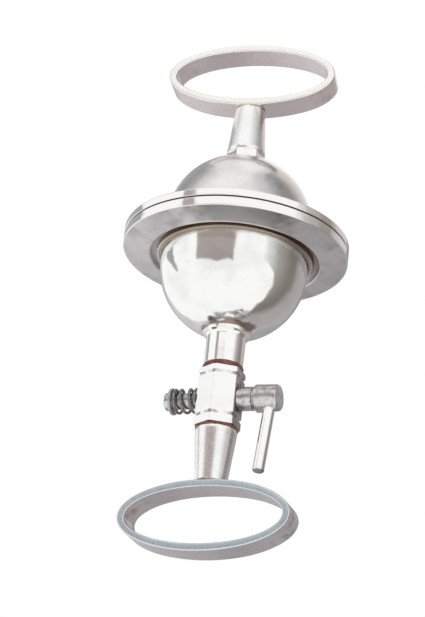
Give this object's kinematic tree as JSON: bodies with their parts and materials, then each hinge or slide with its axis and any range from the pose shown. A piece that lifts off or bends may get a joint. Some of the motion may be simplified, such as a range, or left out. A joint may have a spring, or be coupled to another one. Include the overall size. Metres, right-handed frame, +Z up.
{
  "type": "magdeburg hemispheres",
  "caption": "Flanged metal hemispheres that meet on a flat seal, with an oval handle loop at each end and a stopcock with a lever and a spring-held taper plug below.",
  "frame": {"origin": "centre of the lower flange's sealing face, on the main axis, where both hemispheres and the ring of a stand that carries the lower flange are centred", "axes": "+Z up the main axis through both handle loops, +X along the stopcock's plug towards its lever and along the lower loop's length, +Y away from the picture's camera side"},
  "size_m": [0.124, 0.124, 0.304],
  "materials": {
    "satin_nickel": "satin",
    "polished_nickel": "polished",
    "grey_nickel": "satin",
    "dull_nickel": "satin",
    "bright_steel": "polished",
    "dark_steel": "satin",
    "seal_rubber": "matte",
    "fibre": "matte"
  },
  "bodies": {
    "lower_hemisphere": {"lower_flange": "satin_nickel", "lower_bowl": "polished_nickel", "neck": "polished_nickel", "neck_washer": "fibre", "stopcock_body": "polished_nickel"},
    "seal": {"seal_ring": "seal_rubber"},
    "upper_hemisphere": {"upper_flange": "satin_nickel", "upper_bowl": "satin_nickel", "stem_stud": "dark_steel", "stem_collar": "polished_nickel", "upper_stem": "satin_nickel", "upper_handle_loop": "satin_nickel"},
    "stopcock_plug": {"plug": "dull_nickel", "lever_rod": "bright_steel", "plug_spring": "dark_steel", "spring_washer": "dark_steel", "plug_screw": "bright_steel"},
    "thread_washer": {"handle_washer": "fibre"},
    "lower_handle": {"lower_stem": "polished_nickel", "lower_handle_loop": "grey_nickel"}
  },
  "joints": [
    {"name": "twist", "type": "hinge", "parent": "lower_hemisphere", "child": "seal", "pos_m": [0, 0, 0], "axis": [0, 0, 1], "continuous": true},
    {"name": "pull_apart", "type": "slide", "parent": "seal", "child": "upper_hemisphere", "axis": [0, 0, 1], "range_m": [0, 0.15]},
    {"name": "plug_turn", "type": "hinge", "parent": "lower_hemisphere", "child": "stopcock_plug", "pos_m": [0, 0, -0.0903], "axis": [1, 0, 0], "continuous": true},
    {"name": "handle_thread_travel", "type": "slide", "parent": "lower_hemisphere", "child": "thread_washer", "axis": [0, 0, -1], "range_m": [0, 0.0091]},
    {"name": "handle_unscrew", "type": "hinge", "parent": "thread_washer", "child": "lower_handle", "pos_m": [0, 0, -0.1065], "axis": [0, 0, -1], "range_deg": [0, 2160]}
  ],
  "couplings": [
    {"joint": "handle_thread_travel", "follows": "handle_unscrew", "m_per_rad": 0.00023873}
  ]
}
